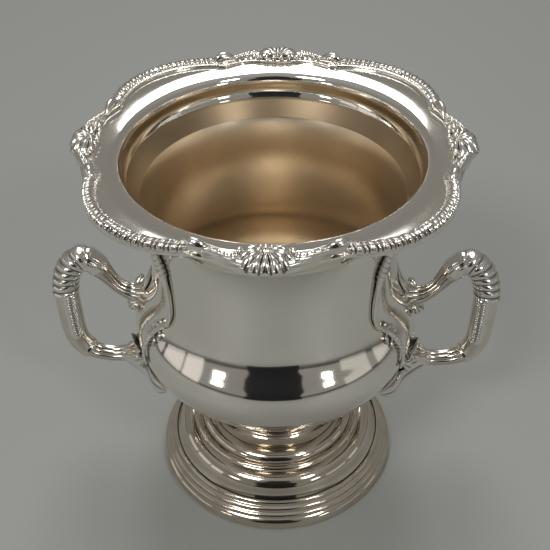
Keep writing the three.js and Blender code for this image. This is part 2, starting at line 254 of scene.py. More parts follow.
def plate_wear():
    """Worn silver plate: bright metal that clouds to a duller, rougher tone, blackens where the recess mask
    is high, which is tarnish in its recesses and painted shade along the strands' sides, and carries fine
    scratches and the faint unevenness of hand-finished sheet."""
    group = bpy.data.node_groups.new("plate_wear", "ShaderNodeTree")
    for name in ("Bright", "Dull", "Black"):
        group.interface.new_socket(name=name, in_out="INPUT", socket_type="NodeSocketColor")
    for name in ("Blackening", "Roughness", "Spread", "Ripple", "Cloud Scale"):
        group.interface.new_socket(name=name, in_out="INPUT", socket_type="NodeSocketFloat")
    group.interface.new_socket(name="Color", in_out="OUTPUT", socket_type="NodeSocketColor")
    group.interface.new_socket(name="Roughness", in_out="OUTPUT", socket_type="NodeSocketFloat")
    group.interface.new_socket(name="Normal", in_out="OUTPUT", socket_type="NodeSocketVector")
    nodes, wires = group.nodes, group.links
    entry, leave = nodes.new("NodeGroupInput"), nodes.new("NodeGroupOutput")
    place = nodes.new("ShaderNodeTexCoord")

    cloud = nodes.new("ShaderNodeTexNoise")
    cloud.inputs["Detail"].default_value = 5
    wires.new(place.outputs["Object"], cloud.inputs["Vector"])
    wires.new(entry.outputs["Cloud Scale"], cloud.inputs["Scale"])
    brightness = nodes.new("ShaderNodeMapRange")
    brightness.inputs["From Min"].default_value = 0.32
    brightness.inputs["From Max"].default_value = 0.66
    wires.new(cloud.outputs["Fac"], brightness.inputs["Value"])
    clouded = nodes.new("ShaderNodeMix")
    clouded.data_type = "RGBA"
    wires.new(brightness.outputs["Result"], clouded.inputs["Factor"])
    wires.new(entry.outputs["Dull"], clouded.inputs["A"])
    wires.new(entry.outputs["Bright"], clouded.inputs["B"])

    recess_and_shade = nodes.new("ShaderNodeAttribute")
    recess_and_shade.attribute_name = "recess_and_shade"
    deep = nodes.new("ShaderNodeMapRange")
    deep.inputs["From Min"].default_value = 0.35
    wires.new(recess_and_shade.outputs["Fac"], deep.inputs["Value"])
    wires.new(entry.outputs["Blackening"], deep.inputs["To Max"])
    blackened = nodes.new("ShaderNodeMix")
    blackened.data_type = "RGBA"
    wires.new(deep.outputs["Result"], blackened.inputs["Factor"])
    wires.new(clouded.outputs["Result"], blackened.inputs["A"])
    wires.new(entry.outputs["Black"], blackened.inputs["B"])
    wires.new(blackened.outputs["Result"], leave.inputs["Color"])

    roughest = nodes.new("ShaderNodeMath")
    roughest.operation = "ADD"
    wires.new(entry.outputs["Roughness"], roughest.inputs[0])
    wires.new(entry.outputs["Spread"], roughest.inputs[1])
    satin = nodes.new("ShaderNodeMapRange")
    satin.inputs["From Min"].default_value = 0.3
    satin.inputs["From Max"].default_value = 0.7
    wires.new(cloud.outputs["Fac"], satin.inputs["Value"])
    wires.new(roughest.outputs["Value"], satin.inputs["To Min"])
    wires.new(entry.outputs["Roughness"], satin.inputs["To Max"])
    rougher = nodes.new("ShaderNodeMath")
    rougher.operation = "MULTIPLY_ADD"
    rougher.inputs[1].default_value = 0.3
    wires.new(deep.outputs["Result"], rougher.inputs[0])
    wires.new(satin.outputs["Result"], rougher.inputs[2])
    wires.new(rougher.outputs["Value"], leave.inputs["Roughness"])

    stretch = nodes.new("ShaderNodeMapping")
    stretch.inputs["Scale"].default_value = (0.22, 0.22, 1.6)
    wires.new(place.outputs["Object"], stretch.inputs["Vector"])
    scratches = nodes.new("ShaderNodeTexNoise")
    scratches.inputs["Scale"].default_value = 260
    scratches.inputs["Detail"].default_value = 3
    scratches.inputs["Roughness"].default_value = 0.7
    wires.new(stretch.outputs["Vector"], scratches.inputs["Vector"])
    scratched = nodes.new("ShaderNodeBump")
    scratched.inputs["Strength"].default_value = 0.03
    scratched.inputs["Distance"].default_value = 0.0002
    wires.new(scratches.outputs["Fac"], scratched.inputs["Height"])
    ripple = nodes.new("ShaderNodeTexNoise")
    ripple.inputs["Scale"].default_value = 26
    ripple.inputs["Detail"].default_value = 1.5
    wires.new(place.outputs["Object"], ripple.inputs["Vector"])
    uneven = nodes.new("ShaderNodeBump")
    uneven.inputs["Distance"].default_value = 0.02
    wires.new(entry.outputs["Ripple"], uneven.inputs["Strength"])
    wires.new(ripple.outputs["Fac"], uneven.inputs["Height"])
    wires.new(scratched.outputs["Normal"], uneven.inputs["Normal"])
    wires.new(uneven.outputs["Normal"], leave.inputs["Normal"])
    return group


PLATE_WEAR = plate_wear()


def silver(name, bright, dull, roughness, spread, black=(0.2, 0.15, 0.1), blackening=0.0, ripple=0.02,
           cloud_scale=18.0):
    """A silver plate finish. roughness is the bright metal's, and spread is what the dull adds to it."""
    material = bpy.data.materials.new(name)
    material.use_nodes = True
    nodes, wires = material.node_tree.nodes, material.node_tree.links
    shader = nodes["Principled BSDF"]
    shader.inputs["Metallic"].default_value = 1.0
    wear = nodes.new("ShaderNodeGroup")
    wear.node_tree = PLATE_WEAR
    for socket, value in {
        "Bright": (*bright, 1), "Dull": (*dull, 1), "Black": (*black, 1), "Blackening": blackening,
        "Roughness": roughness, "Spread": spread, "Ripple": ripple, "Cloud Scale": cloud_scale,
    }.items():
        wear.inputs[socket].default_value = value
    wires.new(wear.outputs["Color"], shader.inputs["Base Color"])
    wires.new(wear.outputs["Roughness"], shader.inputs["Roughness"])
    wires.new(wear.outputs["Normal"], shader.inputs["Normal"])
    return material


POLISHED = silver("polished_plate", (0.91, 0.88, 0.825), (0.85, 0.815, 0.75), 0.055, 0.05)
TARNISHED = silver("tarnished_inside", (0.93, 0.82, 0.655), (0.85, 0.735, 0.57), 0.29, 0.04,
                   ripple=0.008, cloud_scale=30.0)
# The floor's finish is darker than the walls': stains where ice has stood, darkened further as painted shade
# at the bottom of the deep bowl.
STAINED_AND_SHADED = silver("stained_and_shaded_floor", (0.60, 0.49, 0.36), (0.33, 0.26, 0.18), 0.34, 0.08,
                 ripple=0.008, cloud_scale=120.0)

outside = fair_line(BODY_OUTLINE, 150)
inside = beside(outside, -SHEET)
bottom_outside, bottom_inside = (AT_AXIS, BODY_BOTTOM), (AT_AXIS, BODY_BOTTOM + SHEET)
body_line = np.vstack([[bottom_outside], outside[::-1], inside, [bottom_inside]])
body = skin("spun_body", turned_grid(body_line, BODY_STEPS), closed_rows=True)
for finish in (POLISHED, TARNISHED, STAINED_AND_SHADED):
    body.data.materials.append(finish)
for face in body.data.polygons:
    on_floor = face.normal.z > 0.3 and face.center.z < FLOOR_TOP * MM
    if on_floor and face.center.z < STAIN_AND_SHADE_TOP * MM:
        face.material_index = 2
    elif on_floor or faces_axis(face):
        face.material_index = 1
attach(body, "root")
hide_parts("body_shell")

# ---- The rim -----------------------------------------------------------------------------------
# The wide lobed rim is a second piece of sheet. Its inner edge is rolled over into the throat and a
# short tapering collar, which is let into the body's mouth and soldered round its lower edge.

RIM_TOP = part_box("rim_flange")[1].z / MM
LOBE = 59.85
EDGE_INSET = 2.6
FLAT_FROM = 110.0
SWELL_FROM = 107.4
SWELL_HALF = 4.6
SWELL_DEGREES = 22
THROAT_DEPTH = 17.0
RIM_STEPS = 576
# Radius, and depth below the rim's top, from the flat of the rim in and down to the collar.
THROAT = [
    (FLAT_FROM, 0), (106, 0.02), (103, 0.1), (100, 0.36), (97, 0.82), (94, 1.52), (92, 2.25),
    (90.2, 3.5), (89, 5.6), (88.4, 9), (88, 13), (86.4, 17.2),
]
COLLAR = [(86.2, 17.9), (79.8, 28.8)]


def rim_radius(turn):
    """Distance of the rim's outer edge from the axis: four bowed lobes, and a swell under each shell."""
    off_shell = np.abs((np.degrees(turn) + 45) % 90 - 45)
    lobe = 2 * LOBE * np.cos(np.radians(45 - off_shell))
    swell = SWELL_FROM + SWELL_HALF * (1 + np.cos(np.pi * np.minimum(off_shell / SWELL_DEGREES, 1)))
    return np.maximum(lobe, swell)


throat = fair_line([(r, RIM_TOP - depth) for r, depth in THROAT], 64)
collar = np.linspace(*[(r, RIM_TOP - depth) for r, depth in COLLAR], 12)
top_line = np.vstack([throat, collar])
under_line = beside(top_line, SHEET)[::-1]
rim_turn = np.linspace(0, FULL_TURN, RIM_STEPS, endpoint=False)
rim_edge = np.maximum(rim_radius(rim_turn) - EDGE_INSET, FLAT_FROM + 0.5)


def rim_loop(r, z):
    return np.c_[r * np.cos(rim_turn), r * np.sin(rim_turn), np.full(RIM_STEPS, z)]


def rim_flat(share, z):
    """A loop on the flat of the rim, a share of the way from the round throat to the lobed edge."""
    return rim_loop(FLAT_FROM + (rim_edge - FLAT_FROM) * share, z)


rim_rows = [rim_flat(share, RIM_TOP) for share in np.linspace(1, 0, 20)[:-1]]
rim_rows += [rim_loop(r, z) for r, z in np.vstack([top_line, under_line])]
rim_rows += [rim_flat(share, RIM_TOP - SHEET) for share in np.linspace(0, 1, 8)[1:]]
rim = skin("lobed_rim", np.array(rim_rows), closed_rows=True, crease=30)
DULL_COLLAR = silver("tarnished_collar", (0.43, 0.33, 0.215), (0.32, 0.24, 0.155), 0.36, 0.08)
rim.data.materials.append(POLISHED)
rim.data.materials.append(DULL_COLLAR)
for face in rim.data.polygons:
    below_throat = face.center.z < (RIM_TOP - THROAT_DEPTH) * MM
    face.material_index = 1 if below_throat and faces_axis(face) else 0
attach(rim, "root")
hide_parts("rim_flange")

# ---- The gadroon borders -----------------------------------------------------------------------
# Four bowed borders, die-stamped in lengths and soldered along the lobes: a rope of slanting tongues
# outside, a smooth hollow next to it and a fine bead along the inner edge.

BORDER_HALF = math.radians(49)
BORDER_STEPS = 760
TONGUES = 15
TONGUE_RELIEF = 1.8
TONGUE_SHARE = 0.64
ROPE_CENTRE = (3.4, 0.7)
ROPE_HALF = (3.7, 3.5)
# The rest of the border's section past the rope: distance in from the edge, height over the rim.
BEAD_AND_UNDERSIDE = [
    (6.85, 1.25), (7.1, 0.95), (7.4, 1.0), (7.65, 1.45), (7.9, 1.75), (8.15, 1.7), (8.4, 1.3),
    (8.45, -0.8), (1.9, -0.8), (1.8, -2.9), (0.7, -3.0), (0.35, -2.5), (0.5, -1.8),
]

ORNAMENT = silver("ornament_plate", (0.88, 0.86, 0.82), (0.80, 0.77, 0.72), 0.12, 0.08,
                  black=(0.035, 0.03, 0.028), blackening=0.96, cloud_scale=90.0)


def fit(piece, finish, slot, *nodes):
    piece.data.materials.append(finish)
    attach(piece, "root")
    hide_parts(*nodes)


def tongue_wave(phase):
    """Height of the gadroons along the border: a broad veined tongue and a narrow one by turns."""
    x = np.mod(phase, 1.0)
    vein = 1 - 0.28 * np.exp(-((x - TONGUE_SHARE / 2) / 0.045) ** 2)
    broad = np.sin(np.pi * np.clip(x / TONGUE_SHARE, 0, 1)) ** 0.5 * vein
    narrow = 0.8 * np.sin(np.pi * np.clip((x - 0.66) / 0.32, 0, 1)) ** 0.6
    return np.where(x < 0.65, broad, narrow)


def turned_to(facing, x, y, z):
    """Points turned about the upright axis to face the given degrees."""
    c, s = math.cos(math.radians(facing)), math.sin(math.radians(facing))
    return np.stack([x * c - y * s, x * s + y * c, z], -1)


def gadroon_border(name, node, facing):
    along = np.linspace(-BORDER_HALF, BORDER_HALF, BORDER_STEPS)[:, None]
    roll = np.radians(np.linspace(-38, 162, 40))
    rope_in = ROPE_CENTRE[0] - ROPE_HALF[0] * np.cos(roll)
    rope_up = ROPE_CENTRE[1] + ROPE_HALF[1] * np.sin(roll)
    rest_in, rest_up = np.array(BEAD_AND_UNDERSIDE).T
    u, w = np.r_[rope_in, rest_in], np.r_[rope_up, rest_up]
    carved = np.r_[np.maximum(0.0, np.sin((roll + 0.66) * 0.9)) ** 0.4, 0 * rest_in]
    slant = np.interp(u, [0, 7], [0, 0.42])
    wave = tongue_wave(np.abs(along) / BORDER_HALF * TONGUES / 2 - slant)
    lift = carved * (wave - 0.8) * TONGUE_RELIEF
    off_in, off_up = u - ROPE_CENTRE[0], w - ROPE_CENTRE[1]
    size = np.maximum(np.hypot(off_in, off_up), 0.1)
    u = u + lift * off_in / size
    w = w + lift * off_up / size
    ends = np.clip((BORDER_HALF - np.abs(along)) / 0.02, 0, 1) ** 0.5
    w = np.where(w > 0.4, 0.4 + (w - 0.4) * (0.6 + 0.4 * ends), w)
    x = LOBE + (LOBE - u) * np.cos(along)
    y = (LOBE - u) * np.sin(along)
    grid = turned_to(facing, x, y, RIM_TOP + w)
    hollow = carved * (1 - wave) ** 0.8
    fit(skin(name, grid, capped=True, crease=60, recess_and_shade=hollow), ORNAMENT, "cast_ornament", node)


for place, facing in {"front_right": -45, "back_right": 45, "back_left": 135, "front_left": 225}.items():
    gadroon_border("rope_border_" + place, "gadroon_border_" + place, facing)

# ---- The shell mounts --------------------------------------------------------------------------
# Between the borders sits a cast scallop shell, hinged on a cluster of curls, with a plain hollowed
# band under it and a rope of small curled leaves on each side that ends in a round scroll head.

SHELL_HINGE = 105.2
SHELL_REACH = 12.8
SHELL_SPREAD = math.radians(114)
SHELL_UNDERSIDE = -1.3
FLUTES = 9
FLUTE_DEPTH = 2.7
FAN_STEPS = 330
# The band's inner edge, by degrees off the shell, and its section, by share of its width and height.
BAND_HALF = 22.3
BAND_TURNS = [0, 5, 9, 13, 17, 20, BAND_HALF]
BAND_INNER = [100.3, 100.9, 102.2, 102.3, 100.7, 99.6, 101.2]
BAND_TOP = [
    (0, 0.9), (0.04, 1.45), (0.09, 1.65), (0.15, 1.45), (0.21, 0.95), (0.33, 0.75), (0.46, 0.95),
    (0.58, 1.5), (0.70, 2.3), (0.81, 2.7), (0.91, 2.4), (0.975, 1.4), (1, 0.1),
]
BAND_UNDERSIDE = [(1, -1.6), (0.985, -2.8), (0.93, -2.9), (0.86, -2.6), (0.86, -0.8)]
# Points of the scroll beside the shell: degrees off the shell, distance from the axis, height.
SCROLL_HEAD = [(23.4, 105.8, 1.6), (21.4, 106.3, 2.7), (18.6, 106.4, 2.9), (15.2, 105.2, 1.6)]
SCROLL_LIP = [(23.4, 104.6, 1.2), (23.8, 107.4, 1.8), (22.9, 109.6, 1.2)]
SCROLL_STEM = [(17.6, 107.2, 2.0), (14.5, 108.4, 2.3), (11.4, 109.9, 2.5), (8.2, 111.2, 2.6)]
# Degrees off the shell and size of each small leaf of the rope.
ROPE_LEAVES = [(16.4, 0.75), (14.4, 0.95), (12.3, 1.15), (10.2, 1.25), (8.2, 1.3)]
# Degrees off the shell, distance from the axis, length, girth and height of each curl of the hinge.
HINGE_CURLS = [
    (1.5, 101.9, 3.0, 1.6, 3.4), (4.2, 102.7, 3.4, 1.7, 3.3), (7.2, 104.4, 4.4, 1.8, 2.8),
    (8.6, 107.6, 4.2, 1.5, 2.4),
]


def over_rim(off_shell, r, height, facing):
    """A point over the rim: degrees off the shell's direction, distance from the axis, height above it."""
    turn = np.radians(facing + np.asarray(off_shell, float))
    return np.stack([r * np.cos(turn), r * np.sin(turn), RIM_TOP + height + 0 * turn], -1)


def bar_grid(line, width, depth, side, around, relief=None):
    """Points of a bar along a line. width and depth are its half sizes, across the side direction and
    square to it; relief adds to its radius, by share of its length and angle round it."""
    tangent = np.gradient(line, axis=0)
    tangent /= np.linalg.norm(tangent, axis=1)[:, None]
    side = np.broadcast_to(side, line.shape)
    side = side - (side * tangent).sum(1)[:, None] * tangent
    side /= np.linalg.norm(side, axis=1)[:, None]
    up = np.cross(tangent, side)
    v = np.linspace(0, 1, len(line))[:, None]
    a = np.linspace(0, FULL_TURN, around, endpoint=False)[None, :]
    raised = relief(v, a) if relief else 0
    across = (width(v) + raised) * np.cos(a)
    out = (depth(v) + raised) * np.sin(a)
    return line[:, None, :] + across[..., None] * side[:, None, :] + out[..., None] * up[:, None, :]


def through(values, times=1.0):
    """A size that runs smoothly through the given values from one end of a bar to the other."""
    stretch = 40
    places = np.linspace(0, stretch, len(values))
    curve = fair_line(np.c_[places, values], 200)

    def size(v):
        return np.maximum(np.interp(v, curve[:, 0] / stretch, curve[:, 1]), 0.05) * times
    return size


def joined(name, pieces):
    """Several closed castings soldered up into one piece."""
    work = bmesh.new()
    recess_and_shade = work.verts.layers.float.new("recess_and_shade")
    for piece in pieces:
        depths = [item.value for item in piece.data.attributes["recess_and_shade"].data]
        start = len(work.verts)
        work.from_mesh(piece.data)
        work.verts.ensure_lookup_table()
        for offset, depth in enumerate(depths):
            work.verts[start + offset][recess_and_shade] = depth
        bpy.data.objects.remove(piece)
    mesh = bpy.data.meshes.new(name)
    work.to_mesh(mesh)
    work.free()
    mesh.shade_smooth()
    mesh.set_sharp_from_angle(angle=math.radians(60))
    whole = bpy.data.objects.new(name, mesh)
    bpy.context.scene.collection.objects.link(whole)
    return whole


def curl(name, points, sizes, flat=0.9, around=16):
    """A small rounded curl or leaf through the given points."""
    line = fair_line(points, 26)
    grid = bar_grid(line, through(sizes), through(sizes, flat), (0, 0, 1), around)
    return skin(name, grid, capped=True, crease=75)


def shell_fan(facing):
    turn = np.linspace(-SHELL_SPREAD, SHELL_SPREAD, FAN_STEPS)
    share = turn / SHELL_SPREAD
    flute = np.abs(np.cos(share * FLUTES * math.pi / 2)) ** 0.55
    fuller_side = (1 + 0.22 * np.sin(np.abs(share) * 2.5)) * (1 - 0.2 * share ** 4)
    reach = SHELL_REACH * fuller_side * (0.93 + 0.07 * flute)
    loops = []
    hollows = []
    for out in np.linspace(0, 1, 30):
        dome = 2.3 + 3.3 * math.sin(min(1, out / 0.45) * math.pi / 2)
        droop = 5.2 * max(0, (out - 0.45) / 0.55) ** 2.2
        fluting = (flute - 0.75) * FLUTE_DEPTH * min(1, out * 1.6) * (1 - 0.4 * out ** 6)
        x = SHELL_HINGE + reach * out * np.cos(turn)
        y = reach * out * np.sin(turn) * 1.04
        loops.append(np.stack([x, y, RIM_TOP + dome - droop + fluting], -1))
        hollows.append((1 - flute) ** 0.7 * min(1, out * 3))
    skirt = loops[-1].copy()
    skirt[:, 2] = RIM_TOP + SHELL_UNDERSIDE + 0.1
    top = np.array(loops + [skirt])
    hollows.append(hollows[-1])
    under = top[::-1].copy()
    under[..., 2] = RIM_TOP + SHELL_UNDERSIDE
    x, y, z = np.concatenate([top, under]).transpose(2, 1, 0)
    hollow = np.concatenate([np.array(hollows), np.zeros((len(hollows), FAN_STEPS))]).T
    return skin("fan", turned_to(facing, x, y, z), capped=True, crease=75, recess_and_shade=hollow)


def band_under_shell(facing):
    """The plain band that carries the shell: a bead along its inner edge, a hollow, a rolled outer edge."""
    off = np.linspace(-BAND_HALF, BAND_HALF, 300)
    inner = np.interp(np.abs(off), BAND_TURNS, BAND_INNER)
    blend = np.hanning(17) / np.hanning(17).sum()
    inner = np.convolve(np.pad(inner, 8, mode="edge"), blend, mode="valid")
    width = rim_radius(np.radians(off)) - 0.1 - inner
    section = np.vstack([[(0, -0.8)], fair_line(BAND_TOP, 46), BAND_UNDERSIDE])
    loops = [over_rim(off, inner + width * share, height, facing) for share, height in section]
    return skin("band", np.array(loops).transpose(1, 0, 2), capped=True, crease=50)


def scroll_leaves(facing, hand):
    """The side scroll: a smooth round head laid over the border's end, then a leafy rope of curls that
    dwindles and rises again towards the shell."""
    def laid(points):
        return [over_rim(hand * off, r, height, facing) for off, r, height in points]

    parts = [
        curl("head", laid(SCROLL_HEAD), [1.6, 4.3, 4.7, 3.6, 1.0], 0.62, 28),
        curl("lip", laid(SCROLL_LIP), [0.6, 1.1, 1.1, 0.5], 1.0),
        curl("stem", laid(SCROLL_STEM), [1.2, 1.3, 1.5, 1.6]),
    ]
    for off, grow in ROPE_LEAVES:
        base = float(rim_radius(np.radians(off))) - 3.6
        leaf = [
            (off + 0.9, base - 1.0 * grow, 2.3), (off, base + 0.6 * grow, 3.3),
            (off - 1.0, base + 2.2 * grow, 2.3),
        ]
        parts.append(curl("leaf", laid(leaf), [0.4, 1.05 * grow, 1.25 * grow, 0.9 * grow, 0.25]))
    return parts


def hinge_curls(facing):
    """The eye of the shell, a ring of small curls over it and one larger curl on each side."""
    eye = [over_rim(0, r, height, facing) for r, height in [(103.2, 4.6), (105, 5.8), (106.8, 5.2)]]
    parts = [curl("eye", eye, [0.3, 1.6, 1.9, 1.6, 0.3])]
    for hand in (-1, 1):
        for off, r, length, girth, height in HINGE_CURLS:
            line = [
                over_rim(hand * (off - 0.3), r - length / 2, height - 0.8, facing),
                over_rim(hand * off, r, height, facing),
                over_rim(hand * (off + 0.6), r + length / 2, height - 0.5, facing),
            ]
            parts.append(curl("curl", line, [0.3, girth * 0.9, girth, girth * 0.8, 0.3], around=14))
    return parts


for place, facing in {"right": 0, "back": 90, "left": 180, "front": 270}.items():
    parts = [shell_fan(facing), band_under_shell(facing), *hinge_curls(facing)]
    parts += scroll_leaves(facing, -1) + scroll_leaves(facing, 1)
    fit(joined("scallop_shell_" + place, parts), ORNAMENT, "cast_ornament", "shell_mount_" + place)

# ---- The handles -------------------------------------------------------------------------------
# Each handle is cast hollow and soldered up: a reeded upper arm, a thick grip that ends in a cuff,
# and a thinner reeded lower arm. They are fixed, one on each side of the bucket.

HANDLE_LINE = [
    (86, 144), (95.4, 145.5), (101.7, 149), (107.2, 155), (111.8, 162.5), (116.6, 169.5), (123.2, 173.6),
    (130.6, 169.6), (136.4, 160), (139, 149), (139.8, 138), (139.8, 124), (139.4, 111), (136.6, 99.5),
    (130.4, 91.8), (121.6, 88), (112, 87), (103, 88.4), (95, 92.5), (86, 100),
]
ARM_END = 0.19
CUFF = 0.74
ARM_REEDS = 10
LOWER_REEDS = 8
ARM_STEPS = 120
ARM_AROUND = 100
ACROSS = (0, 1, 0)
SIDES = {"right": 1, "left": -1}

HANDLE_PLATE = silver("handle_plate", (0.78, 0.735, 0.665), (0.66, 0.61, 0.54), 0.10, 0.09,
                      black=(0.05, 0.042, 0.035), blackening=0.8, cloud_scale=40.0)

handle_line = fair_line(HANDLE_LINE, 1001)
upper_width = through([8.0, 6.4, 5.3, 5.0, 5.3, 6.6])
upper_depth = through([10.4, 7.4, 5.6, 5.1, 5.5, 6.6])
grip_width = through([6.9, 7.8, 7.9, 8.1, 8.3, 8.2, 7.8, 7.3])
lower_width = through([5.6, 5.2, 5.2, 5.8, 7.4, 9.0])
lower_depth = through([6.0, 5.4, 5.4, 6.2, 8.0, 9.6])


def along_handle(start, end, side, steps):
    """Points of the handle's middle line between two shares of its length."""
    at = np.linspace(start, end, steps) * (len(handle_line) - 1)
    x = np.interp(at, np.arange(len(handle_line)), handle_line[:, 0])
    z = np.interp(at, np.arange(len(handle_line)), handle_line[:, 1])
    return np.c_[side * x, np.zeros(steps), z]


def reeding(a, count):
    """Rounded reeds round a bar, 0 between them and 1 on their crowns."""
    return np.abs(np.cos(a * count / 2)) ** 0.8


def reed_hollows(count):
    a = np.linspace(0, FULL_TURN, ARM_AROUND, endpoint=False)
    return np.tile(1 - reeding(a, count), (ARM_STEPS, 1))


def upper_relief(v, a):
    return 0.7 * (reeding(a, ARM_REEDS) - 0.75) * np.minimum(1, 3 * (1.02 - v))


def lower_relief(v, a):
    return 0.95 * (reeding(a, LOWER_REEDS) - 0.75)


def cuff_roll(v, a):
    return 0.55 * np.exp(-((v - 0.984) / 0.012) ** 2)


for side_name, side in SIDES.items():
    upper_line = along_handle(0.0, ARM_END - 0.001, side, ARM_STEPS)
    upper_grid = bar_grid(upper_line, upper_width, upper_depth, ACROSS, ARM_AROUND, upper_relief)
    upper_arm = skin("reeded_arm_" + side_name, upper_grid, capped=True, recess_and_shade=reed_hollows(ARM_REEDS))
    fit(upper_arm, HANDLE_PLATE, "handle_plate", "handle_upper_arm_" + side_name)
    grip_line = along_handle(ARM_END, CUFF, side, 220)
    grip_grid = bar_grid(grip_line, grip_width, grip_width, ACROSS, 72, cuff_roll)
    grip = skin("smooth_grip_" + side_name, grip_grid, capped=True)
    fit(grip, HANDLE_PLATE, "handle_plate", "handle_grip_" + side_name)
    lower_line = along_handle(CUFF + 0.001, 0.99, side, ARM_STEPS)
    lower_grid = bar_grid(lower_line, lower_width, lower_depth, ACROSS, ARM_AROUND, lower_relief)
    lower_arm = skin("slender_arm_" + side_name, lower_grid, capped=True, recess_and_shade=reed_hollows(LOWER_REEDS))
    fit(lower_arm, HANDLE_PLATE, "handle_plate", "handle_lower_arm_" + side_name)

# ---- The leaf caps -----------------------------------------------------------------------------
# An acanthus leaf is cast over the crest of each handle. Its side lobes stand out like feathers from
# the bend towards the outer shoulder, and a narrow serrated lobe runs down each side of the palm.

# Shares of the handle's length: where the leaf starts, where its back ends, where the whole casting
# ends, where its palm lobes fade out, and the length of one feather.
LEAF_START = 0.205
LEAF_BACK = 0.452
LEAF_END = 0.675
PALM_END = 0.665
FEATHER = 0.029
LEAF_STEPS = 440
LEAF_AROUND = 128


def smooth_step(x):
    x = np.clip(x, 0, 1)
    return x * x * (3 - 2 * x)


def leaf_cap(side_name, side):
    line = along_handle(LEAF_START, LEAF_END, side, LEAF_STEPS)
    place = np.linspace(LEAF_START, LEAF_END, LEAF_STEPS)[:, None]
    a = np.linspace(0, FULL_TURN, LEAF_AROUND, endpoint=False)[None, :]
    from_back = np.degrees(np.abs(np.mod(a - math.pi / 2 + math.pi, FULL_TURN) - math.pi))
    off_palm = smooth_step((150 - from_back) / 90)
    lean = place + 0.024 * smooth_step(from_back / 130)
    feather = np.abs(np.sin(np.pi * (lean - LEAF_START) / FEATHER)) ** 0.8
    grown = smooth_step((place - 0.235) / 0.045)
    edge = LEAF_BACK + 0.012 * feather - 0.03 * smooth_step((from_back - 40) / 60)
    cover = smooth_step((edge - place) / 0.012 + 0.5)
    feathered = cover * (0.4 + (0.2 + 1.9 * (feather - 0.45)) * grown * off_palm)
    strand = np.exp(-((from_back - 118) / 27) ** 2) * smooth_step((PALM_END - place) / 0.05)
    notch = np.abs(np.sin(np.pi * (place + from_back * 0.00035) / 0.0125)) ** 0.7
    palm_lobe = strand * smooth_step((place - 0.40) / 0.03) * (0.9 + 0.55 * notch)
    vein = 0.12 * np.cos(np.radians(from_back) * 22) * cover * (1 - grown)
    relief = -0.5 + feathered + 0.5 * cover + 1.6 * palm_lobe + vein
    tangent = np.gradient(line, axis=0)
    tangent /= np.linalg.norm(tangent, axis=1)[:, None]
    up = np.cross(tangent, ACROSS) * side
    radius = grip_width((place - ARM_END) / (CUFF - ARM_END)) + relief
    across = (radius * np.cos(a))[..., None] * np.array(ACROSS)
    out = (radius * np.sin(a))[..., None] * up[:, None, :]
    grid = line[:, None, :] + across + out
    hollow = np.maximum((1 - feather) * grown * cover, strand * (1 - notch) * (place > 0.42))
    cap = skin("acanthus_cap_" + side_name, grid, capped=True, crease=75, recess_and_shade=np.clip(hollow * 1.1, 0, 1))
    fit(cap, ORNAMENT, "cast_ornament", "handle_leaf_" + side_name)


for side_name, side in SIDES.items():
    leaf_cap(side_name, side)

# ---- The root mounts ---------------------------------------------------------------------------
# Cast leaves cover the joints between the arms and the body: above, a pointed leaf with a small
# scroll each side of the arm; below, a hand of spread leaves that clasps the belly.

# Each lower leaf's tip, as degrees off the handle, height and distance off the sheet, and its girth.
LOWER_TIPS = [
    (41, 113, 1.2, 7.4), (31, 131, 1.0, 4.2), (15, 131, 3.8, 4.4), (0, 121, 2.6, 6.4),
    (-15, 131, 3.8, 4.4), (-31, 131, 1.0, 4.2), (-41, 113, 1.2, 7.4),
]
LOWER_START = (108, 87.6)
LOWER_ROOT_HEIGHT = 95


def body_radius(z):
    rising = outside[::-1]
    return np.interp(z, rising[:, 1], rising[:, 0])


def on_body(turn, z, proud, side):
    """Points over the body's outside: degrees off the handle's direction, height, distance off the sheet."""
    turn = np.radians(np.asarray(turn, float))
    z = np.asarray(z, float)
    slope = (body_radius(z + 1) - body_radius(z - 1)) / 2
    off = np.asarray(proud, float) / np.hypot(1, slope)
    r = body_radius(z) + off
    return np.stack([side * r * np.cos(turn), r * np.sin(turn), z - slope * off], -1)


def leaf_finger(name, points, sizes, flat=0.5, steps=60):
    """One long veined leaf, laid through the given points off the body."""
    veins, around = 5, 40
    line = fair_line(points, steps)
    size = through(sizes)
    across = np.cross(np.gradient(line, axis=0), line * (1, 1, 0))

    def veining(v, a):
        return 0.14 * size(v) * (np.abs(np.cos(a * veins / 2)) - 0.4)
    grid = bar_grid(line, size, through(sizes, flat), across, around, veining)
    a = np.linspace(0, FULL_TURN, around, endpoint=False)
    hollow = np.tile((1 - np.abs(np.cos(a * veins / 2))) * 0.9, (steps, 1))
    return skin(name, grid, capped=True, crease=75, recess_and_shade=hollow)


def upper_root(side_name, side):
    point = on_body([0, 0, 0, 0], [137, 143, 150, 160], [2.2, 3.2, 2.0, 0.8], side)
    parts = [leaf_finger("point", point, [2.2, 5.6, 3.4, 1.3, 0.3], flat=0.45)]
    for hand in (-1, 1):
        tip = on_body(np.array([1.5, 2.5, 3.2, 3.6]) * hand, [145, 153, 162, 173], [1.6, 1.2, 1, 0.6], side)
        parts.append(leaf_finger("side_point", tip, [2.6, 2.0, 1.3, 0.3]))
        roll = on_body(np.array([5.4, 7.8, 9, 8]) * hand, [141, 142, 145, 147.5], [2.6, 3, 2.8, 2.6], side)
        parts.append(leaf_finger("scroll", roll, [1.2, 2.2, 2.4, 1.8, 0.4], flat=0.95))
    drop = [(side * 92, 0, 140), (side * 97, 0, 136.8), (side * 99.6, 0, 131)]
    parts.append(leaf_finger("drop", drop, [6.2, 5.4, 3.4, 0.4]))
    fit(joined("upper_leaf_" + side_name, parts), ORNAMENT, "cast_ornament", "upper_mount_" + side_name)


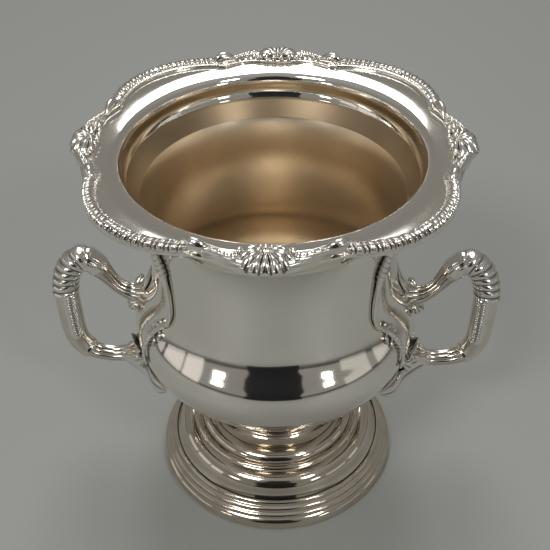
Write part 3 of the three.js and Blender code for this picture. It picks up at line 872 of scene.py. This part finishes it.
def lower_root(side_name, side):
    parts = []
    start = (side * LOWER_START[0], 0, LOWER_START[1])
    for turn, z, proud, girth in LOWER_TIPS:
        middle = on_body(turn * 0.42, LOWER_ROOT_HEIGHT + (z - LOWER_ROOT_HEIGHT) * 0.35, 7.4, side)
        near = on_body(turn * 0.78, 96 + (z - 96) * 0.7, 3.8, side)
        tip = on_body(turn, z, proud, side)
        sizes = [5.2, girth * 1.15, girth * 1.35, girth, 0.4]
        parts.append(leaf_finger("finger", [start, middle, near, tip], sizes, flat=0.46))
    fit(joined("lower_leaf_" + side_name, parts), ORNAMENT, "cast_ornament", "lower_mount_" + side_name)


for side_name, side in SIDES.items():
    upper_root(side_name, side)
    lower_root(side_name, side)

# ---- The straps --------------------------------------------------------------------------------
# A thin strand is soldered to the body on each side of each handle. It hangs from a leaf under the
# rim, bows out as a smooth wire, and turns in at the flare to a knot of small leaves.

# Degrees off the handle, and height, from the rim down.
STRAP = [
    (29.5, 229), (31.2, 220), (34.5, 209), (37.5, 195), (39.4, 181), (39.8, 170), (37.6, 162),
    (33.6, 156.5), (31.4, 151), (30.4, 144), (30.4, 136), (31.6, 128),
]
STRAP_PROUD = 1.7
STRAP_FLAT = 0.62
STRAP_STEPS = 260
STRAP_AROUND = 28
STRAP_NOTCHES = 105
# Start, middle and tip of each leaf of the knot, and its girth.
KNOT = [
    ((34.6, 158.0), (32.4, 160.4), (30.4, 158.6), 1.3), ((33.4, 155.4), (30.2, 156.6), (28.2, 154.0), 1.5),
    ((32.4, 152.6), (29.4, 152.8), (27.6, 149.6), 1.4), ((34.0, 154.4), (35.8, 151.6), (35.2, 148.6), 1.3),
    ((31.4, 149.4), (29.0, 148.2), (28.6, 145.0), 1.2), ((32.2, 150.0), (34.2, 147.4), (33.6, 143.8), 1.2),
]

strap_sizes = [0.7, 2.6, 3.5, 3.2, 2.2, 1.8, 1.7, 1.7, 1.8, 1.9, 1.7, 1.2]
strap_size = through(strap_sizes)


def leafy(v):
    """How leafy the strand is along its length: leaves at both ends, wire in the middle."""
    return 0.35 + 0.65 * (smooth_step((0.34 - v) / 0.08) + smooth_step((v - 0.60) / 0.05))


def strap_leaves(v, a):
    notch = np.abs(np.sin(v * STRAP_NOTCHES + 2 * np.abs(np.cos(a)))) ** 0.8
    return strap_size(v) * leafy(v) * (0.13 * (notch - 0.6) + 0.12 * np.cos(4 * a))


def hung_strap(name, node, side, hand):
    turns, heights = np.array(STRAP).T
    line = fair_line(on_body(turns * hand, heights, STRAP_PROUD, side), STRAP_STEPS)
    across = np.cross(np.gradient(line, axis=0), line * (1, 1, 0))
    grid = bar_grid(line, strap_size, through(strap_sizes, STRAP_FLAT), across, STRAP_AROUND, strap_leaves)
    v = np.linspace(0, 1, STRAP_STEPS)[:, None]
    # The strand's two sides are darkened through the recess mask. This is painted shade for the dark edges
    # on each side of a round wire's bright middle. The darkening between the notches is tarnish.
    edge = np.abs(np.cos(np.linspace(0, FULL_TURN, STRAP_AROUND, endpoint=False)))[None, :] ** 4
    between_notches = 1 - np.abs(np.sin(v * STRAP_NOTCHES + 2 * edge)) ** 0.8
    hollow = np.maximum(0.8 * between_notches * leafy(v), 0.6 * edge)
    parts = [skin("strand", grid, capped=True, crease=75, recess_and_shade=hollow)]
    for start, middle, tip, girth in KNOT:
        turn, z = np.array([start, middle, tip]).T
        points = on_body(turn * hand, z, [0.9, 1.3, 0.5], side)
        parts.append(leaf_finger("knot_leaf", points, [0.5, girth, girth * 0.8, 0.2], flat=0.6, steps=24))
    fit(joined(name, parts), ORNAMENT, "cast_ornament", node)


for side_name, side in SIDES.items():
    for end, hand in {"front": -1, "back": 1}.items():
        hung_strap(f"leaf_strand_{side_name}_{end}", f"strap_{side_name}_{end}", side, hand)

# ---- The foot ----------------------------------------------------------------------------------
# The foot is spun in sheet and soldered under the bowl: a beaded collar, a waist with three rings, a
# stepped dome and a reeded base moulding that it stands on. It is hollow and open underneath.

FOOT_STEPS = 256

# The foot's plate is painted darker and browner than the body's plate. This is painted shade and reflection,
# standing in for the dim bench that the low foot mirrors.
SHADED_FOOT_PLATE = silver("foot_plate", (0.73, 0.66, 0.57), (0.58, 0.51, 0.43), 0.07, 0.06, cloud_scale=30.0)


def bead(r, z, size, start, end, count=12):
    """Points of a half-round, from one angle to another, turning from straight out towards up."""
    a = np.radians(np.linspace(start, end, count))
    return np.c_[r + size * np.cos(a), z + size * np.sin(a)]


def spun(name, outline, node):
    piece = skin(name, turned_grid(np.vstack(outline), FOOT_STEPS), closed_rows=True, crease=32)
    fit(piece, SHADED_FOOT_PLATE, "foot_plate", node)


spun("collar_bead", [
    [(20, 70), (29.5, 70)], bead(30.6, 73.1, 3.4, -84, 84, 22), [(29.5, 76.5), (20, 76.5)],
], "foot_collar")

waist = fair_line([(30.6, 69.5), (28.6, 65.5), (27.6, 60), (28.2, 55), (30.2, 51.4)], 40)
rings = [bead(31.6, 49.9, 1.7, 96, -28), bead(35.2, 47.7, 1.7, 96, -28), bead(38.8, 45.8, 1.6, 96, -20)]
flare = fair_line([(41.2, 44.4), (43.6, 43.2), (46.7, 42.3)], 12)
waist_inside = [(46.6, 40.7), (41.5, 41.4), (33, 46), (28, 50.5), (26, 56), (26, 69.5)]
spun("ringed_waist", [waist, *rings, flare, waist_inside], "foot_spool")

step = fair_line([(47.3, 42.2), (50.4, 41.7), (53.4, 40.2), (55.2, 37.8), (55.9, 35.6)], 30)
dome = fair_line([(61, 34.4), (64.6, 34.0), (68.2, 31.8), (70.9, 28), (72.6, 23.6), (74.2, 20.6)], 50)
dome_under = fair_line([(49, 41.6), (54, 36.5), (60, 33.2), (66.5, 31.4), (71, 24), (72.6, 20)], 30)
dome_inside = beside(dome_under, -SHEET)[::-1]
spun("stepped_dome", [
    step, bead(58.2, 34.4, 1.9, 150, 20), dome, [(73.6, 19.2)], dome_inside, [(45.4, 40.1)],
], "foot_dome")

base_reeds = [
    fair_line([(74.9, 20.3), (76.2, 19.9), (77.1, 18.7), (77.4, 17.1)], 14),
    fair_line([(78.0, 16.7), (79.2, 16.0), (79.9, 14.7), (80.0, 13.2)], 14),
    fair_line([(80.6, 12.8), (81.8, 12.0), (82.4, 10.7), (82.5, 9.6)], 14),
    fair_line([(83.1, 9.2), (84.5, 7.8), (85.3, 5.6), (85.3, 3.2), (84.7, 1.2), (83.9, 0.35)], 24),
]
base_inside = [(83.4, 0.0), (81.6, 0.0), (80.4, 4.6), (78.6, 8.2), (76.4, 12.4), (74, 18.4)]
spun("base_moulding", [*base_reeds, base_inside], "foot_base_ring")
